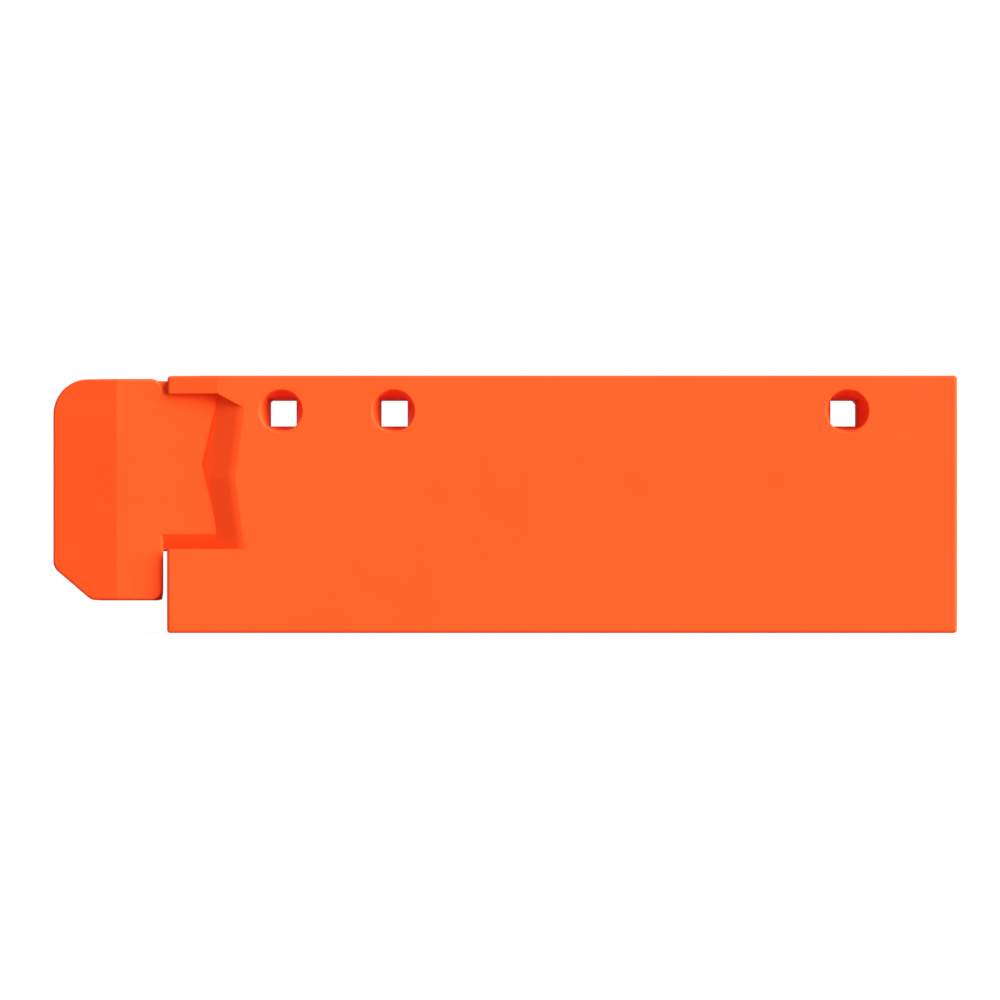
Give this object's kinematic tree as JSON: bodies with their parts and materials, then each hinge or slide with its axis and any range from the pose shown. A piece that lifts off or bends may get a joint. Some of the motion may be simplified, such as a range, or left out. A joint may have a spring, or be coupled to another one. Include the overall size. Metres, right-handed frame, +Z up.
{
  "type": "water filled traffic barrier",
  "caption": "Low hollow plastic water-filled barrier with an interlocking connector head, square through holes, a twist-lock fill cap and a screwed drain plug.",
  "frame": {"origin": "middle of the base of the overall box, on the ground", "axes": "+X along the length towards the plain end, -Y is the front face, +Z up"},
  "size_m": [2.148, 0.254, 0.61],
  "materials": {
    "barrier_polyethylene": "satin, lightly orange-peeled rotomoulded skin",
    "fitting_plastic": "fine-textured black polypropylene",
    "strap_plastic": "soft matt",
    "seal_rubber": "matt",
    "stainless_screws": "satin"
  },
  "bodies": {
    "barrier": {"barrier_shell": "barrier_polyethylene", "fill_neck": "fitting_plastic", "fill_neck_seal": "seal_rubber", "fill_neck_screws": "stainless_screws", "drain_bush": "fitting_plastic", "strap_screws": "stainless_screws"},
    "fill_strap": {"fill_cap_strap": "strap_plastic"},
    "fill_cap": {"fill_cap": "fitting_plastic", "fill_cap_gasket": "seal_rubber"},
    "drain_strap": {"drain_plug_strap": "strap_plastic"},
    "drain_plug": {"drain_plug": "fitting_plastic", "drain_plug_seal": "seal_rubber"}
  },
  "joints": [
    {"name": "fill_cap_lift", "type": "slide", "parent": "barrier", "child": "fill_strap", "axis": [0, 0, 1], "range_m": [0, 0.12], "deforming": ["fill_cap_strap"]},
    {"name": "fill_cap_turn", "type": "hinge", "parent": "fill_strap", "child": "fill_cap", "pos_m": [0.138, 0, 0.572], "axis": [0, 0, 1], "range_deg": [-60, 0]},
    {"name": "drain_plug_draw", "type": "slide", "parent": "barrier", "child": "drain_strap", "axis": [1, 0, 0], "range_m": [0, 0.0245], "deforming": ["drain_plug_strap"]},
    {"name": "drain_plug_turn", "type": "hinge", "parent": "drain_strap", "child": "drain_plug", "pos_m": [1.044, 0, 0.062], "axis": [1, 0, 0], "range_deg": [0, 1440]}
  ],
  "couplings": [
    {"joint": "drain_plug_draw", "follows": "drain_plug_turn", "m_per_rad": 0.00095493}
  ]
}
